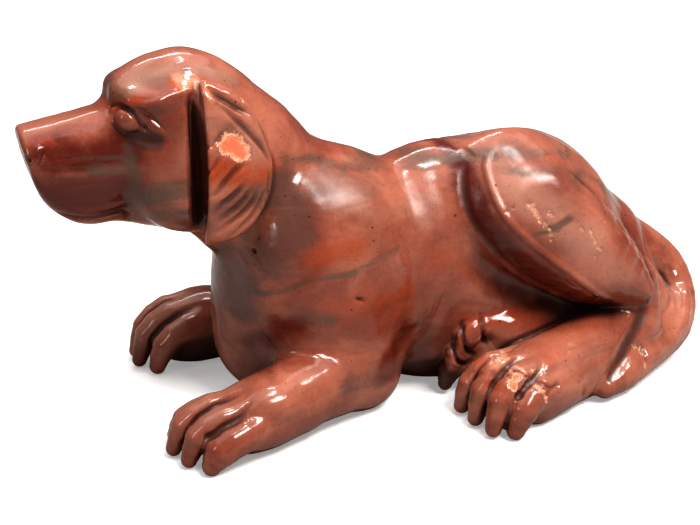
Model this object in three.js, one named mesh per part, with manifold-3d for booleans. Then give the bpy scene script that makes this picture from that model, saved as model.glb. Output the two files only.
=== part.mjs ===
// A hound carved from one block of red stone. It lies with its head up, both hind feet brought out on its
// left side and its tail curled round to the left. Millimetres, +Z up, nose towards -X, left side towards -Y.
import * as THREE from 'three';
import { MarchingCubes } from 'three/addons/objects/MarchingCubes.js';
import { SimplifyModifier } from 'three/addons/modifiers/SimplifyModifier.js';
import { mergeVertices } from 'three/addons/utils/BufferGeometryUtils.js';
import Module from 'manifold-3d';

// Driving sizes
const LENGTH = 195;
const STONE_COLOUR = 0x9c4a35;
const POLISH = 0.25;

// The landmarks below are drawn for this length, with the ground at z = 0 and the spine in the plane y = 0.
const DRAWN_LENGTH = 195;

// The box that is sampled round the drawn dog, how finely, and how many facets are kept of the surface.
const LOW = new THREE.Vector3(-96, -62, -8);
const HIGH = new THREE.Vector3(118, 50, 104);
const CELLS = 150;
const COARSE = 5;
const MOST_CORNERS = 400000;
const FACETS = 9700;
const WELD = 1e-4;

// How softly neighbouring masses run into each other, in millimetres.
const FLESH = 8;
const MUSCLE = 5;
const SKIN_FOLD = 2;
const CREASE = 0.8;

const DEGREE = Math.PI / 180;

// A form is a function of x, y, z: the distance to a surface, negative inside the stone.
function softMin(a, b, blend) {
  const near = Math.max(blend - Math.abs(a - b), 0) / blend;
  return Math.min(a, b) - near * near * blend / 4;
}

function softMax(a, b, blend) {
  return -softMin(-a, -b, blend);
}

function join(blend, ...forms) {
  return (x, y, z) => {
    let d = forms[0](x, y, z);
    for (let i = 1; i < forms.length; i++) d = softMin(d, forms[i](x, y, z), blend);
    return d;
  };
}

function trim(blend, form, limit) {
  return (x, y, z) => softMax(form(x, y, z), limit(x, y, z), blend);
}

function carve(blend, form, tool) {
  return (x, y, z) => softMax(form(x, y, z), -tool(x, y, z), blend);
}

// The edge where two forms meet, ground off to a facet this wide on each of them.
function bevelled(width, blend, form, limit) {
  return (x, y, z) => {
    const a = form(x, y, z);
    const b = limit(x, y, z);
    return softMax(softMax(a, b, blend), (a + b + width) * Math.SQRT1_2, blend);
  };
}

const mirrored = form => (x, y, z) => form(x, -y, z);
const bothSides = form => (x, y, z) => form(x, -Math.abs(y), z);
const seenFromSide = form => (x, y, z) => form(x, 0, z);

// An egg with its three half sizes. In degrees, pitch dips its +X end, yaw swings that end towards +Y and
// roll leans its top towards -Y.
function egg([cx, cy, cz], [rx, ry, rz], pitch = 0, yaw = 0, roll = 0) {
  const turn = new THREE.Euler(roll * DEGREE, pitch * DEGREE, yaw * DEGREE, 'ZYX');
  const unturned = new THREE.Matrix4().makeRotationFromEuler(turn).transpose();
  const [a, b, c, , d, e, f, , g, h, i] = unturned.elements;
  return (x, y, z) => {
    const px = x - cx;
    const py = y - cy;
    const pz = z - cz;
    const u = (a * px + d * py + g * pz) / rx;
    const v = (b * px + e * py + h * pz) / ry;
    const w = (c * px + f * py + i * pz) / rz;
    const reach = Math.sqrt(u * u + v * v + w * w);
    const slope = Math.sqrt((u / rx) ** 2 + (v / ry) ** 2 + (w / rz) ** 2);
    return slope === 0 ? -Math.min(rx, ry, rz) : reach * (reach - 1) / slope;
  };
}

// A limb: round bones end to end along a smooth line through the points, with a radius given at each point.
function limb(points, radii, bonesPerSpan = 1) {
  const curve = new THREE.CatmullRomCurve3(points.map(p => new THREE.Vector3(...p)), false, 'centripetal');
  const spans = points.length - 1;
  const count = spans * bonesPerSpan;
  const joints = Array.from({ length: count + 1 }, (_, i) => {
    const along = i / bonesPerSpan;
    const span = Math.min(Math.floor(along), spans - 1);
    const radius = radii[span] + (radii[span + 1] - radii[span]) * (along - span);
    return { at: curve.getPoint(i / count), radius };
  });
  const bones = joints.slice(1).map((end, i) => {
    const start = joints[i];
    const run = end.at.clone().sub(start.at);
    const taper = end.radius - start.radius;
    return { start: start.at, run, perLength: 1 / run.lengthSq(), radius: start.radius, taper };
  });
  return (x, y, z) => {
    let nearest = Infinity;
    for (const { start, run, perLength, radius, taper } of bones) {
      const px = x - start.x;
      const py = y - start.y;
      const pz = z - start.z;
      const t = Math.min(1, Math.max(0, (px * run.x + py * run.y + pz * run.z) * perLength));
      const off = Math.sqrt((px - t * run.x) ** 2 + (py - t * run.y) ** 2 + (pz - t * run.z) ** 2);
      nearest = Math.min(nearest, off - radius - t * taper);
    }
    return nearest;
  };
}

// Everything behind a plane through the point, on the side away from the normal.
function behind([px, py, pz], normal) {
  const { x: nx, y: ny, z: nz } = new THREE.Vector3(...normal).normalize();
  return (x, y, z) => (x - px) * nx + (y - py) * ny + (z - pz) * nz;
}

// Away from the ball that holds a form, the distance to that ball is enough and saves the work.
function within([cx, cy, cz], reach, form) {
  const margin = 14;
  return (x, y, z) => {
    const far = Math.sqrt((x - cx) ** 2 + (y - cy) ** 2 + (z - cz) ** 2) - reach;
    return far > margin ? far : form(x, y, z);
  };
}

function torso() {
  const chest = egg([-10.5, 0, 32], [28.5, 27.5, 32]);
  const brisket = egg([-16, 0, 16], [22.5, 16, 19]);
  const withers = egg([-4, 0, 52.5], [15.5, 18, 15.2]);
  const belly = egg([27, 0, 31.5], [35, 25.5, 35.2]);
  const loin = egg([49.5, 0, 38.2], [28.3, 25, 29.3], 6);
  const rump = egg([72.3, 0, 28], [19.3, 19, 20], 25);
  const seat = egg([83, -9, 13], [14, 14, 14]);
  const leftHaunch = egg([49, -12, 43], [27, 15, 21], 33);
  const leftHip = egg([42, -11, 52], [17, 11, 18]);
  const rightHaunch = egg([54, 20, 21], [27, 12, 20]);
  const trunk = join(FLESH, chest, brisket, belly, loin, rump, seat, leftHaunch, leftHip, rightHaunch);
  return join(6, trunk, withers);
}

function neck() {
  return limb([[-39, 0, 76], [-31.5, 0, 68], [-25.5, 0, 60], [-14, 0, 47]], [16.6, 18, 18.5, 19.5]);
}

function head() {
  const crown = egg([-46, 0, 80.5], [17, 16.3, 17]);
  const forehead = trim(1.5, egg([-53, 0, 81], [15, 12.5, 14.2]), behind([-64.2, 0, 88], [-1, 0, 0.2]));
  const cheek = bothSides(egg([-49.5, -8.5, 68], [13, 8.5, 13]));
  const jawCorner = bothSides(egg([-46, -9.5, 61.5], [10.5, 7.5, 8.8], -6));
  const throat = limb([[-54, 0, 60.8], [-44, 0, 57.6], [-36, 0, 53.2]], [7.5, 7.7, 9.8]);
  const browLine = [[-60.6, -4.5, 88.3], [-59.3, -9.8, 87.6], [-54, -13.2, 87], [-47.5, -12.8, 89]];
  const brow = bothSides(limb(browLine, [3.3, 3, 2.4, 2]));
  const bridge = behind([-70, 0, 84], [-0.19, 0, 1]);
  const snout = trim(1.2, limb([[-64, 0, 72.9], [-84.5, 0, 70.8]], [12.3, 10.8]), bridge);
  const upperLip = bothSides(egg([-72, -5, 65.5], [12, 6.3, 9.5], 12));
  const lowerJaw = limb([[-54, 0, 61], [-69, 0, 60.5]], [8.5, 5.5]);
  const noseFront = behind([-87.2, 0, 80], [-1, 0, -0.22]);
  const chin = behind([-80.8, 0, 59.2], [-0.76, 0, -0.65]);
  const muzzle = trim(4, trim(2, join(4, snout, upperLip, lowerJaw), noseFront), chin);
  const skull = join(SKIN_FOLD, join(MUSCLE, join(3, crown, forehead), cheek, jawCorner, throat), brow);
  const face = join(3.5, skull, muzzle);
  const underEyeLine = [[-63.5, -15.5, 79.3], [-56, -17.5, 78], [-51, -18.5, 78.5]];
  const underEye = bothSides(limb(underEyeLine, [1.6, 2, 1.2]));
  const eye = bothSides(egg([-61.2, -10.9, 82.9], [3.5, 2.4, 2.8], 32, -25));
  return join(CREASE, carve(2.5, face, underEye), eye);
}

// Each ear hangs from the side of the crown as half a disc, straight in front and round behind.
function ears() {
  const disc = egg([-44.6, -17.6, 72.3], [17.2, 4.4, 20.6], -10, 0, -10);
  const frontEdge = behind([-44.9, 0, 72], [-1, 0, 0.05]);
  return bothSides(trim(1.2, disc, frontEdge));
}

function gapsBeforeEars() {
  return bothSides(egg([-46.3, -16.8, 70.5], [2, 6, 19.5]));
}

// A toe from inside the paw over its knuckle and down to the claw.
function toe(root, knuckle, tip, radius) {
  const bend = new THREE.Vector3(...knuckle).lerp(new THREE.Vector3(...tip), 0.7);
  bend.z += 0.3 * (knuckle[2] - tip[2]);
  return limb([root, knuckle, bend.toArray(), tip], [radius, radius, 0.92 * radius, 0.55 * radius], 2);
}

function leftForeleg() {
  const shoulder = egg([-12, -16, 40], [21, 13, 25], 10);
  const elbow = egg([-4, -16.5, 15], [11, 11.5, 16]);
  const forearm = limb([[-4, -18.5, 10.5], [-20, -25.5, 11], [-34, -31.5, 10]], [10.5, 10, 9], 3);
  const palm = egg([-39, -32.5, 7], [13, 8, 7], 0, 25);
  const toes = join(CREASE,
    toe([-26, -31.5, 8], [-42.5, -40, 8.2], [-51.5, -42.3, 2.4], 4.6),
    toe([-32, -36, 12], [-47, -36.5, 11.5], [-56, -37, 2.2], 3.7),
    toe([-32, -30, 12.5], [-48.5, -30.5, 12], [-58.3, -30, 2.2], 3.6),
    toe([-32, -26, 10], [-47, -25, 9.5], [-56.5, -23.5, 2.4], 3.6));
  return join(MUSCLE, shoulder, elbow, forearm, join(SKIN_FOLD, palm, toes));
}

function rightForeleg() {
  const shoulder = egg([-12, -16, 40], [21, 13, 25], 10);
  const elbow = egg([-4, -16.5, 15], [11, 11.5, 16]);
  const forearm = limb([[-3, -19, 11], [-22, -23, 11], [-35, -26, 11]], [11, 10.5, 10], 3);
  const palm = egg([-41, -26, 8.5], [12, 9.5, 8.5]);
  const toes = join(CREASE,
    toe([-32, -20, 10], [-43, -18.5, 12.5], [-52, -18.5, 2.4], 4.2),
    toe([-32, -24, 14], [-46.5, -24.5, 15], [-56, -25, 2.2], 3.9),
    toe([-32, -30, 14], [-46, -31, 14.5], [-55.5, -31.5, 2.2], 3.9),
    toe([-32, -34, 11], [-42.5, -36, 11], [-50, -36.5, 2.4], 3.9));
  return mirrored(join(MUSCLE, shoulder, elbow, forearm, join(SKIN_FOLD, palm, toes)));
}

// Each thigh is a raised leaf that narrows from the knee to the hock, its face gently rounded.
function leftThigh() {
  const spine = [[41.5, 0, 53.5], [51, 0, 44.3], [60, 0, 37.3], [69, 0, 31.2], [76, 0, 26.5]];
  const outline = seenFromSide(limb(spine, [17.2, 15.3, 13.3, 9.8, 7.6], 2));
  const face = egg([58, 0, 36], [60, 36.5, 50]);
  return trim(4, bevelled(7, 2.5, outline, face), behind([0, -8, 0], [0, 1, 0]));
}

function rightThigh() {
  const outline = seenFromSide(limb([[40, 0, 44], [55, 0, 34], [70, 0, 24]], [15.5, 13.5, 11], 3));
  const face = egg([56, 0, 28], [58, 35, 48]);
  return trim(4, bevelled(5, 2, outline, face), behind([0, 8, 0], [0, -1, 0]));
}

// The flank sinks towards the leaf's front edge and lies deep under its lower one.
function hollowAlongThigh() {
  const line = [[22, -22, 70], [20, -27.5, 60], [22, -29, 50], [29, -29, 40], [39, -28, 32], [50, -28, 27.5],
    [61, -30, 24.5]];
  return limb(line, [1.5, 3.5, 5, 6, 6.5, 6, 3.5], 2);
}

function leftHindFoot() {
  const shankLine = [[77, -20, 24], [75, -22, 13], [58, -30, 10.5], [43, -35.5, 10]];
  const heelLine = [[36, -44.5, 5], [43, -40.5, 5.5], [53, -35.5, 6.5], [63, -31, 8]];
  const shank = limb(shankLine, [9, 11.5, 9.8, 9.3], 3);
  const heel = limb(heelLine, [5, 5.7, 6.5, 7.5], 2);
  const sole = egg([37, -38.5, 8], [10, 9, 8.6], 0, 14);
  const toes = join(CREASE,
    toe([38, -33, 12], [28.5, -34, 13], [19.8, -33.6, 2.4], 3.9),
    toe([38, -38, 14], [28, -40, 14.5], [20.2, -41.5, 2.4], 4),
    toe([38, -43, 13.5], [30, -45, 14], [21.8, -48.8, 2.4], 3.8),
    toe([46, -42, 8], [35.5, -47, 10.5], [27, -51.5, 2.4], 4.4));
  return join(3, join(MUSCLE, shank, heel, sole), toes);
}

function rightHindFoot() {
  const shank = limb([[66, -14, 18], [50, -19, 18.5], [38, -21.5, 17]], [6, 6.5, 7.5], 3);
  const sole = egg([34, -20, 9], [9, 8, 9]);
  const toes = join(CREASE,
    toe([38, -22, 20], [29, -23.5, 20], [23.5, -24.5, 15], 3.6),
    toe([36, -20, 16], [27, -22, 15], [21.5, -23, 9], 3.6),
    toe([34, -18, 12], [25.5, -20, 9.5], [20.5, -21, 3], 3.6));
  return join(SKIN_FOLD, shank, sole, toes);
}

function tail() {
  const line = [[80, 0, 34], [91, 0, 27.5], [99.6, -2.5, 20.8], [101, -8.5, 13.3], [94, -18.3, 8.5],
    [80, -28, 7.3], [67, -36.3, 5.8], [60, -40, 4.2]];
  return limb(line, [8.6, 8, 7.2, 6.8, 6.3, 6, 5.2, 3.4], 3);
}

function dog() {
  let body = join(7, torso(), neck());
  const forelegs = [within([-25, -22, 25], 52, leftForeleg()), within([-25, 22, 25], 52, rightForeleg())];
  body = join(6, body, ...forelegs);
  body = join(4, body, within([-62, 0, 75], 38, head()));
  body = join(1.2, body, within([-38, 0, 72], 34, ears()));
  body = carve(1.5, body, within([-46, 0, 72], 30, gapsBeforeEars()));
  body = carve(4, body, hollowAlongThigh());
  body = join(SKIN_FOLD, body, leftThigh(), rightThigh());
  body = join(2.5, body, within([48, -30, 14], 46, leftHindFoot()));
  body = join(1.2, body, within([43, -19, 13], 34, rightHindFoot()));
  return join(1.5, body, within([85, -18, 18], 42, tail()));
}

const wasm = await Module();
wasm.setup();

function solidOf(shape) {
  const mesh = new wasm.Mesh({
    numProp: 3,
    vertProperties: shape.attributes.position.array,
    triVerts: new Uint32Array(shape.index.array),
  });
  mesh.merge();
  return new wasm.Manifold(mesh);
}

function shapeOf(solid) {
  const mesh = solid.getMesh();
  const shape = new THREE.BufferGeometry();
  shape.setAttribute('position', new THREE.BufferAttribute(mesh.vertProperties, 3));
  return shape.setIndex(new THREE.BufferAttribute(mesh.triVerts, 1));
}

// Fills the sampled box. A block of cells too far from the surface to meet it takes one value for all.
function sample(form, cubes, size) {
  const step = size.clone().divideScalar(CELLS);
  const blockReach = 0.65 * COARSE * step.length();
  const value = (i, j, k) => form(LOW.x + i * step.x, LOW.y + j * step.y, LOW.z + k * step.z);
  for (let blockK = 0; blockK < CELLS; blockK += COARSE) {
    for (let blockJ = 0; blockJ < CELLS; blockJ += COARSE) {
      for (let blockI = 0; blockI < CELLS; blockI += COARSE) {
        const middle = value(blockI + COARSE / 2, blockJ + COARSE / 2, blockK + COARSE / 2);
        const missed = Math.abs(middle) > blockReach;
        for (let k = blockK; k < blockK + COARSE; k++) {
          for (let j = blockJ; j < blockJ + COARSE; j++) {
            for (let i = blockI; i < blockI + COARSE; i++) {
              cubes.field[i + CELLS * (j + CELLS * k)] = missed ? -middle : -value(i, j, k);
            }
          }
        }
      }
    }
  }
}

// The surface of a form: fine facets first, then only as many as its curves need.
async function skin(form) {
  const cubes = new MarchingCubes(CELLS, undefined, false, false, MOST_CORNERS);
  cubes.isolation = 0;
  const size = HIGH.clone().sub(LOW);
  sample(form, cubes, size);
  cubes.update();
  const corners = cubes.positionArray.slice(0, cubes.count * 3);
  const facets = new THREE.BufferGeometry().setAttribute('position', new THREE.BufferAttribute(corners, 3));
  facets.scale(size.x / 2, size.y / 2, size.z / 2);
  facets.translate(LOW.x + size.x / 2, LOW.y + size.y / 2, LOW.z + size.z / 2);
  const closed = shapeOf(solidOf(mergeVertices(facets, WELD)));
  const surplus = Math.round(closed.attributes.position.count - FACETS / 2);
  return new SimplifyModifier().modify(closed, surplus);
}

// The carving stands on its own flat underside.
function cutFlat(shape) {
  const depth = 2 * Math.abs(LOW.z);
  const ground = new THREE.BoxGeometry(2 * LENGTH, 2 * LENGTH, depth).translate(0, 0, -depth / 2);
  return shapeOf(solidOf(shape).subtract(solidOf(ground)));
}

function centred(shape) {
  shape.scale(LENGTH / DRAWN_LENGTH, LENGTH / DRAWN_LENGTH, LENGTH / DRAWN_LENGTH);
  shape.computeBoundingBox();
  const middle = shape.boundingBox.getCenter(new THREE.Vector3());
  shape.translate(-middle.x, -middle.y, -shape.boundingBox.min.z);
  shape.computeVertexNormals();
  return shape;
}

const stone = new THREE.MeshStandardMaterial({ color: STONE_COLOUR, roughness: POLISH, metalness: 0 });
const carving = new THREE.Mesh(centred(cutFlat(await skin(dog()))), stone);
carving.name = 'dog_carving';

const group = new THREE.Group();
group.add(carving);
export default group;
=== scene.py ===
# A hound carved from one block of red aventurine: the stone itself, its cut hair and toes, its colour and
# polish, and the pale stage it is seen on. Metres in the scene; the carving is drawn in millimetres.
import math
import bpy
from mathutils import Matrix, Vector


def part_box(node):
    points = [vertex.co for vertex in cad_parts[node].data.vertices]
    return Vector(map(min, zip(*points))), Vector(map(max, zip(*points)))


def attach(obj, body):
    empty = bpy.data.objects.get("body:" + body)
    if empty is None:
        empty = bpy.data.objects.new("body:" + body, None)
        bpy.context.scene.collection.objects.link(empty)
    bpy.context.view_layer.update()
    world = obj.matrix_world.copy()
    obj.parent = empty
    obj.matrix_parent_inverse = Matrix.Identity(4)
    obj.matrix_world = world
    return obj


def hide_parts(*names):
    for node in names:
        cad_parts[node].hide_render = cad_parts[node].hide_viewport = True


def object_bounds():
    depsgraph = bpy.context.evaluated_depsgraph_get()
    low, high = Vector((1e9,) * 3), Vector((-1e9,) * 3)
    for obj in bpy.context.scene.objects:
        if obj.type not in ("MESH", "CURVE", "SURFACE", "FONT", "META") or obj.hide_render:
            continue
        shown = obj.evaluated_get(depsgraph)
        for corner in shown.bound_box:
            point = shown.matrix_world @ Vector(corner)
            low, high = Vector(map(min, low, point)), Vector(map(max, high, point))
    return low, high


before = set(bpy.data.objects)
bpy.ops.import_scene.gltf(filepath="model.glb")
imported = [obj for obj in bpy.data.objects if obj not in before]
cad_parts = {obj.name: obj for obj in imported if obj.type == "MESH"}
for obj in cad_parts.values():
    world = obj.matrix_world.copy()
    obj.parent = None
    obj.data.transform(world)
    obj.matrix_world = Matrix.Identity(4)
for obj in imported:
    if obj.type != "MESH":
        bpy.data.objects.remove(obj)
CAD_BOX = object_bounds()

from concurrent.futures import ThreadPoolExecutor

import bmesh
import bpy
import numpy as np
from mathutils import Vector

bl_info = {
    "name": "Red aventurine dog carving",
    "version": (1, 0, 0),
    "blender": (4, 5, 0),
    "location": "3D View > Sidebar > Stone dog",
    "description": "Dresses the packed solid of a reclining stone hound and lights it on a pale floor",
    "category": "Object",
}

NODE = "dog_carving"
BODY = "root"
PIECE = "carved_hound"
MM = 0.001

# The carving is drawn at its real size with its spine over y = 0, where this is its footprint's middle.
DRAWN_MIDDLE = np.array([10.696, -7.152, 0.0])
LOW_CORNER, HIGH_CORNER = (np.array(corner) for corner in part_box(NODE))
FOOTPRINT_MIDDLE = (LOW_CORNER + HIGH_CORNER) / 2 * (1, 1, 0) + LOW_CORNER * (0, 0, 1)

# How softly masses run into each other, in millimetres, from the broadest to the sharpest.
FLESH = 8
NECK_ROOT = 7
LIMB_ROOT = 6
MUSCLE = 5
HOLLOW = 4
JOWL = 3.5
TENDON = 3
SINEW = 2.5
SKIN_FOLD = 2
NOOK = 1.5
RIM = 1.2
CREASE = 0.8
SOLE = 0.5
# Points to each span of a drawn line.
LINE_STEPS = 6


def to_drawing(points):
    """Scene metres to millimetres of the drawing."""
    return (points - FOOTPRINT_MIDDLE) / MM + DRAWN_MIDDLE


def to_scene(points):
    """Millimetres of the drawing to scene metres."""
    return (points - DRAWN_MIDDLE) * MM + FOOTPRINT_MIDDLE


def unit(values):
    """The values, held between 0 and 1."""
    return np.clip(values, 0.0, 1.0)


def turned(angle):
    """The cosine and sine of an angle in degrees."""
    return math.cos(math.radians(angle)), math.sin(math.radians(angle))


# A form takes arrays of x, y and z and gives the distance to its surface, negative inside.
def soft_min(a, b, blend):
    near = np.maximum(blend - np.abs(a - b), 0.0) / blend
    return np.minimum(a, b) - near * near * blend / 4.0


def soft_max(a, b, blend):
    return -soft_min(-a, -b, blend)


def join(blend, *forms):
    def joined(x, y, z):
        distance = forms[0](x, y, z)
        for form in forms[1:]:
            distance = soft_min(distance, form(x, y, z), blend)
        return distance
    return joined


def trim(blend, form, limit):
    return lambda x, y, z: soft_max(form(x, y, z), limit(x, y, z), blend)


def carve(blend, form, tool):
    return lambda x, y, z: soft_max(form(x, y, z), -tool(x, y, z), blend)


def bevelled(form, limit, width, blend):
    """The edge where two forms meet, ground off to a facet this wide on each of them."""
    def shape(x, y, z):
        a = form(x, y, z)
        b = limit(x, y, z)
        return soft_max(soft_max(a, b, blend), (a + b + width) * math.sqrt(0.5), blend)
    return shape


def both_sides(form):
    return lambda x, y, z: form(x, -np.abs(y), z)


def seen_from_side(form):
    return lambda x, y, z: form(x, np.zeros_like(y), z)


def egg(middle, radii, pitch=0.0, yaw=0.0, roll=0.0):
    """Pitch dips the +X end, yaw swings it towards +Y and roll leans the top towards -Y, in degrees."""
    (cr, sr), (cp, sp), (cy, sy) = turned(roll), turned(pitch), turned(yaw)
    about_x = np.array([[1, 0, 0], [0, cr, -sr], [0, sr, cr]])
    about_y = np.array([[cp, 0, sp], [0, 1, 0], [-sp, 0, cp]])
    about_z = np.array([[cy, -sy, 0], [sy, cy, 0], [0, 0, 1]])
    turn = (about_z @ about_y @ about_x).T
    rows = turn / np.array(radii)[:, None]

    def shape(x, y, z):
        px, py, pz = x - middle[0], y - middle[1], z - middle[2]
        reach = 0.0
        slope = 0.0
        for row, radius in zip(rows, radii):
            part = (row[0] * px + row[1] * py + row[2] * pz) ** 2
            reach = reach + part
            slope = slope + part / radius ** 2
        reach = np.sqrt(reach)
        return reach * (reach - 1.0) / np.sqrt(np.maximum(slope, 1e-12))
    return shape


def smooth_line(points, count):
    """Points along a centripetal Catmull-Rom line through the given ones, count of them to each span."""
    points = [np.array(point, float) for point in points]
    line = []
    for span in range(len(points) - 1):
        p1, p2 = points[span], points[span + 1]
        p0 = points[span - 1] if span > 0 else 2 * p1 - p2
        p3 = points[span + 2] if span + 2 < len(points) else 2 * p2 - p1
        gaps = [max(np.linalg.norm(b - a), 1e-4) ** 0.5 for a, b in ((p0, p1), (p1, p2), (p2, p3))]
        out = gaps[1] * ((p1 - p0) / gaps[0] - (p2 - p0) / (gaps[0] + gaps[1]) + (p2 - p1) / gaps[1])
        into = gaps[1] * ((p2 - p1) / gaps[1] - (p3 - p1) / (gaps[1] + gaps[2]) + (p3 - p2) / gaps[2])
        for step in range(count):
            t = step / count
            square = -3 * p1 + 3 * p2 - 2 * out - into
            cube = 2 * p1 - 2 * p2 + out + into
            line.append(p1 + out * t + square * t ** 2 + cube * t ** 3)
    line.append(points[-1])
    return np.array(line)


def limb(points, radii, bones_per_span=1):
    """Round bones end to end along a smooth line, with a radius given at each point."""
    line = smooth_line(points, bones_per_span)
    along = np.arange(len(line)) / bones_per_span
    sizes = np.interp(along, range(len(radii)), radii)
    bones = [(line[i], line[i + 1] - line[i], sizes[i], sizes[i + 1] - sizes[i])
             for i in range(len(line) - 1)]

    def shape(x, y, z):
        nearest = None
        for start, run, radius, taper in bones:
            px, py, pz = x - start[0], y - start[1], z - start[2]
            t = unit((px * run[0] + py * run[1] + pz * run[2]) / run.dot(run))
            off = np.sqrt((px - t * run[0]) ** 2 + (py - t * run[1]) ** 2 + (pz - t * run[2]) ** 2)
            distance = off - radius - t * taper
            nearest = distance if nearest is None else np.minimum(nearest, distance)
        return nearest
    return shape


def behind(point, normal):
    """Everything behind a plane through the point, on the side away from the normal."""
    n = np.array(normal, float) / np.linalg.norm(normal)
    return lambda x, y, z: (x - point[0]) * n[0] + (y - point[1]) * n[1] + (z - point[2]) * n[2]


def within(middle, reach, form, margin=14.0):
    """Away from the ball that holds a form, the distance to that ball is enough and saves the work."""
    def shape(x, y, z):
        far = np.sqrt((x - middle[0]) ** 2 + (y - middle[1]) ** 2 + (z - middle[2]) ** 2) - reach
        near = far < margin
        if near.any():
            far[near] = form(x[near], y[near], z[near])
        return far
    return shape


# Toes: inside the paw, over the knuckle, down to the claw, and how thick.
LEFT_FORE_TOES = (
    ((-26, -31.5, 8), (-42.5, -40, 8.2), (-51.5, -42.3, 2.4), 4.6),
    ((-32, -36, 12), (-47, -36.5, 11.5), (-56, -37, 2.2), 3.7),
    ((-32, -30, 12.5), (-48.5, -30.5, 12), (-58.3, -30, 2.2), 3.6),
    ((-32, -26, 10), (-47, -25, 9.5), (-56.5, -23.5, 2.4), 3.6),
)
RIGHT_FORE_TOES = (
    ((-32, 20, 10), (-43, 18.5, 12.5), (-52, 18.5, 2.4), 4.2),
    ((-32, 24, 14), (-46.5, 24.5, 15), (-56, 25, 2.2), 3.9),
    ((-32, 30, 14), (-46, 31, 14.5), (-55.5, 31.5, 2.2), 3.9),
    ((-32, 34, 11), (-42.5, 36, 11), (-50, 36.5, 2.4), 3.9),
)
LEFT_HIND_TOES = (
    ((38, -33, 12), (28.5, -34, 13), (19.8, -33.6, 2.4), 3.9),
    ((38, -38, 14), (28, -40, 14.5), (20.2, -41.5, 2.4), 4),
    ((38, -43, 13.5), (30, -45, 14), (21.8, -48.8, 2.4), 3.8),
    ((46, -42, 8), (35.5, -47, 10.5), (27, -51.5, 2.4), 4.4),
)
RIGHT_HIND_TOES = (
    ((38, -22, 20), (29, -23.5, 20), (23.5, -24.5, 15), 3.6),
    ((36, -20, 16), (27, -22, 15), (21.5, -23, 9), 3.6),
    ((34, -18, 12), (25.5, -20, 9.5), (20.5, -21, 3), 3.6),
)
TAIL_LINE = ((80, 0, 34), (91, 0, 27.5), (99.6, -2.5, 20.8), (101, -8.5, 13.3), (94, -18.3, 8.5),
             (80, -28, 7.3), (67, -36.3, 5.8), (60, -40, 4.2))
TAIL_RADII = (8.6, 8, 7.2, 6.8, 6.3, 6, 5.2, 3.4)


def toes(rows, turn_at=0.7, arch=0.3, turn_size=0.92, claw_size=0.55):
    """Each toe turns down part of the way from its knuckle to its claw, held up by a part of the drop."""
    made = []
    for root, knuckle, tip, size in rows:
        knuckle, tip = np.array(knuckle, float), np.array(tip, float)
        turn = knuckle + turn_at * (tip - knuckle)
        turn[2] += arch * (knuckle[2] - tip[2])
        made.append(limb((root, knuckle, turn, tip), (size, size, turn_size * size, claw_size * size), 2))
    return join(CREASE, *made)


def torso():
    chest = egg((-10.5, 0, 32), (28.5, 27.5, 32))
    brisket = egg((-16, 0, 16), (22.5, 16, 19))
    withers = egg((-4, 0, 52.5), (15.5, 18, 15.2))
    belly = egg((27, 0, 31.5), (35, 25.5, 35.2))
    loin = egg((49.5, 0, 38.2), (28.3, 25, 29.3), 6)
    rump = egg((72.3, 0, 28), (19.3, 19, 20), 25)
    seat = egg((83, -9, 13), (14, 14, 14))
    left_haunch = egg((49, -12, 43), (27, 15, 21), 33)
    left_hip = egg((42, -11, 52), (17, 11, 18))
    right_haunch = egg((54, 20, 21), (27, 12, 20))
    flesh = join(FLESH, chest, brisket, belly, loin, rump, seat, left_haunch, left_hip, right_haunch)
    return join(LIMB_ROOT, flesh, withers)


def neck():
    return limb(((-39, 0, 76), (-31.5, 0, 68), (-25.5, 0, 60), (-14, 0, 47)), (16.6, 18, 18.5, 19.5))


def head():
    crown = egg((-46, 0, 80.5), (17, 16.3, 17))
    forehead = trim(NOOK, egg((-53, 0, 81), (15, 12.5, 14.2)), behind((-64.2, 0, 88), (-1, 0, 0.2)))
    cheek = both_sides(egg((-49.5, -8.5, 68), (13, 8.5, 13)))
    jaw_corner = both_sides(egg((-46, -9.5, 61.5), (10.5, 7.5, 8.8), -6))
    throat = limb(((-54, 0, 60.8), (-44, 0, 57.6), (-36, 0, 53.2)), (7.5, 7.7, 9.8))
    brow_line = ((-60.6, -4.5, 88.3), (-59.3, -9.8, 87.6), (-54, -13.2, 87), (-47.5, -12.8, 89))
    brow = both_sides(limb(brow_line, (3.3, 3, 2.4, 2)))
    bridge = behind((-70, 0, 84), (-0.19, 0, 1))
    snout = trim(RIM, limb(((-64, 0, 72.9), (-84.5, 0, 70.8)), (12.3, 10.8)), bridge)
    upper_lip = both_sides(egg((-72, -5, 65.5), (12, 6.3, 9.5), 12))
    lower_jaw = limb(((-54, 0, 61), (-69, 0, 60.5)), (8.5, 5.5))
    nose_front = behind((-87.2, 0, 80), (-1, 0, -0.22))
    chin = behind((-80.8, 0, 59.2), (-0.76, 0, -0.65))
    muzzle = trim(HOLLOW, trim(SKIN_FOLD, join(HOLLOW, snout, upper_lip, lower_jaw), nose_front), chin)
    skull = join(SKIN_FOLD, join(MUSCLE, join(TENDON, crown, forehead), cheek, jaw_corner, throat), brow)
    face = join(JOWL, skull, muzzle)
    under_eye = both_sides(limb(((-63.5, -15.5, 79.3), (-56, -17.5, 78), (-51, -18.5, 78.5)), (1.6, 2, 1.2)))
    eye = both_sides(egg((-61.2, -10.9, 82.9), (3.5, 2.4, 2.8), 32, -25))
    return join(CREASE, carve(SINEW, face, under_eye), eye)


def ears():
    disc = egg((-44.6, -17.6, 72.3), (17.2, 4.4, 20.6), -10, 0, -10)
    return both_sides(trim(RIM, disc, behind((-44.9, 0, 72), (-1, 0, 0.05))))


def gaps_before_ears():
    return both_sides(egg((-46.3, -16.8, 70.5), (2, 6, 19.5)))


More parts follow.
